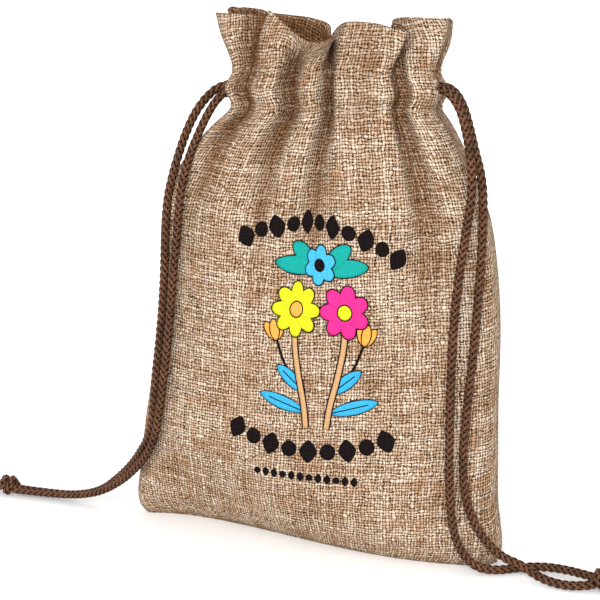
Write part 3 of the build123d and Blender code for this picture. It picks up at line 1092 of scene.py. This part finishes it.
def flower(centre, colour, heart, petals, length, width, start=0.0):
    """An open flower: petals round a heart."""
    for index in range(petals):
        draw_shape(colour, petal(centre, start + 360 * index / petals, length, width, 0.8), 5)
    draw_shape(heart, disc(centre, length * 0.27), 7)


def arc_of_shapes(middle, radius, smile, count, turn_step, tilt, size, dot):
    """A row of lozenges with dots between them, along an arc that curves up (smile 1) or down (-1)."""
    for index in range(count):
        angle = (index - (count - 1) // 2) * turn_step
        x = middle[0] + radius * math.sin(math.radians(angle))
        y = middle[1] - smile * (radius * math.cos(math.radians(angle)) - radius)
        place = (x, y - (x - PRINT_CENTRE) * tilt)
        draw("black", patch(disc(place, dot) if index % 2 else lozenge(place, -smile * angle, *size), 1))


arc_of_shapes((PRINT_CENTRE, 109.2), 55.0, -1, 11, 6.0, 0.075, (5.6, 7.4), 2.4)
arc_of_shapes((PRINT_CENTRE - 2.0, 36.6), 66.0, 1, 9, 5.8, 0.0, (6.2, 7.8), 2.7)
for index in range(12):
    x = PRINT_CENTRE - 2.8 + (index - 5.5) * 3.1
    draw("black", patch(lozenge((x, 27.6), 0, 2.5, 3.4) if index % 3 else disc((x, 27.6), 1.2), 1))

left_stem = [(67.4, 84.0), (66.6, 74.0), (68.4, 62.0), (70.6, 52.0), (71.6, 44.5)]
right_stem = [(83.2, 84.0), (84.0, 74.0), (82.0, 62.0), (79.6, 52.0), (78.6, 44.5)]
for side, stem in ((-1, left_stem), (1, right_stem)):
    draw("black", band(stem, 2.6, 2))
    draw("tan", band(stem, 1.7, 3))
    bud_stem = [(PLANT_CENTRE + side * x, y) for x, y in ((6.4, 58.0), (12.0, 65.0), (15.4, 73.0))]
    draw("black", band(bud_stem, 0.9, 0))
    bud = (PLANT_CENTRE + side * 15.4, 72.4)
    for lean in (-26, 26, 0):
        draw_shape("orange", petal(bud, side * 12 + lean, 6.6, 2.9, 1.15), 1 if lean else 3)
    for height, reach, lean in ((50.0, 16.5, 74), (56.5, 12.5, 52)):
        root = (PLANT_CENTRE + side * 4.6, height)
        draw_shape("blue", petal(root, side * lean, reach, 4.2, 1.25), 1)
        vein = leaned(root, side * lean, np.array([0, 0.4, 0.8]) * reach, np.zeros(3))
        draw("black", band(vein, 0.35, 2))
    for lean, reach in ((52, 12.4), (84, 15.5)):
        draw_shape("teal", petal((PLANT_CENTRE + side * 1.5, 95.4), side * lean, reach, 5.4, 1.1), 1)
flower((66.7, 82.6), "yellow", "orange", 8, 8.6, 4.7)
flower((84.0, 82.6), "pink", "yellow", 7, 8.4, 5.2, 12)
flower((PLANT_CENTRE, 96.6), "light_blue", "black", 6, 6.0, 4.2, 8)

INKS = {
    "black": (0.006, 0.005, 0.006),
    "teal": (0.008, 0.285, 0.250),
    "blue": (0.035, 0.320, 0.540),
    "light_blue": (0.052, 0.365, 0.610),
    "yellow": (0.540, 0.575, 0.018),
    "pink": (0.610, 0.026, 0.200),
    "orange": (0.695, 0.313, 0.061),
    "tan": (0.487, 0.287, 0.139),
}
for colour, parts in inked.items():
    ink = weave_material(f"ink_{colour}", INKS[colour])
    printed = joined(f"print_{colour}", parts, [ink] * len(parts))
    thicken(printed, INK_THICKNESS)
    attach(printed, "pouch")

# ---------------------------------------------------------------- stage, light and camera

# Half the floor's side, in metres
FLOOR_REACH = 12.0
floor_corners = [(x * FLOOR_REACH, y * FLOOR_REACH, 0) for x, y in ((-1, -1), (1, -1), (1, 1), (-1, 1))]
floor_mesh = bpy.data.meshes.new("floor")
floor_mesh.from_pydata(floor_corners, [], [(0, 1, 2, 3)])
floor_mesh.materials.append(floor_material())
floor = link(bpy.data.objects.new("floor", floor_mesh))

SUN_DIRECTION = Vector((-0.16, 0.95, -0.44))
sun = bpy.data.lights.new("key_light", "SUN")
sun.energy = 3.3
sun.angle = math.radians(35)
sun_holder = link(bpy.data.objects.new("key_light", sun))
sun_holder.rotation_euler = SUN_DIRECTION.to_track_quat("-Z", "Y").to_euler()

world = bpy.data.worlds.new("studio")
world.use_nodes = True
background = world.node_tree.nodes["Background"]
background.inputs["Color"].default_value = (1, 1, 1, 1)
background.inputs["Strength"].default_value = 1.0
bpy.context.scene.world = world
bpy.context.scene.view_settings.view_transform = "Standard"

# Camera angles, and distance and target in metres
CAMERA_TURN = math.radians(18.37)
CAMERA_RISE = math.radians(14.0)
CAMERA_DISTANCE = 0.4812
CAMERA_TARGET = Vector((-0.00434, 0, 0.08081))
LENS_TO_SENSOR = 2.5
look = Vector((
    -math.sin(CAMERA_TURN) * math.cos(CAMERA_RISE),
    math.cos(CAMERA_TURN) * math.cos(CAMERA_RISE),
    -math.sin(CAMERA_RISE),
))
camera_data = bpy.data.cameras.new("camera")
camera_data.sensor_width = 36
camera_data.lens = LENS_TO_SENSOR * camera_data.sensor_width
camera = link(bpy.data.objects.new("camera", camera_data))
camera.location = CAMERA_TARGET - look * CAMERA_DISTANCE
camera.rotation_euler = look.to_track_quat("-Z", "Y").to_euler()
bpy.context.scene.camera = camera
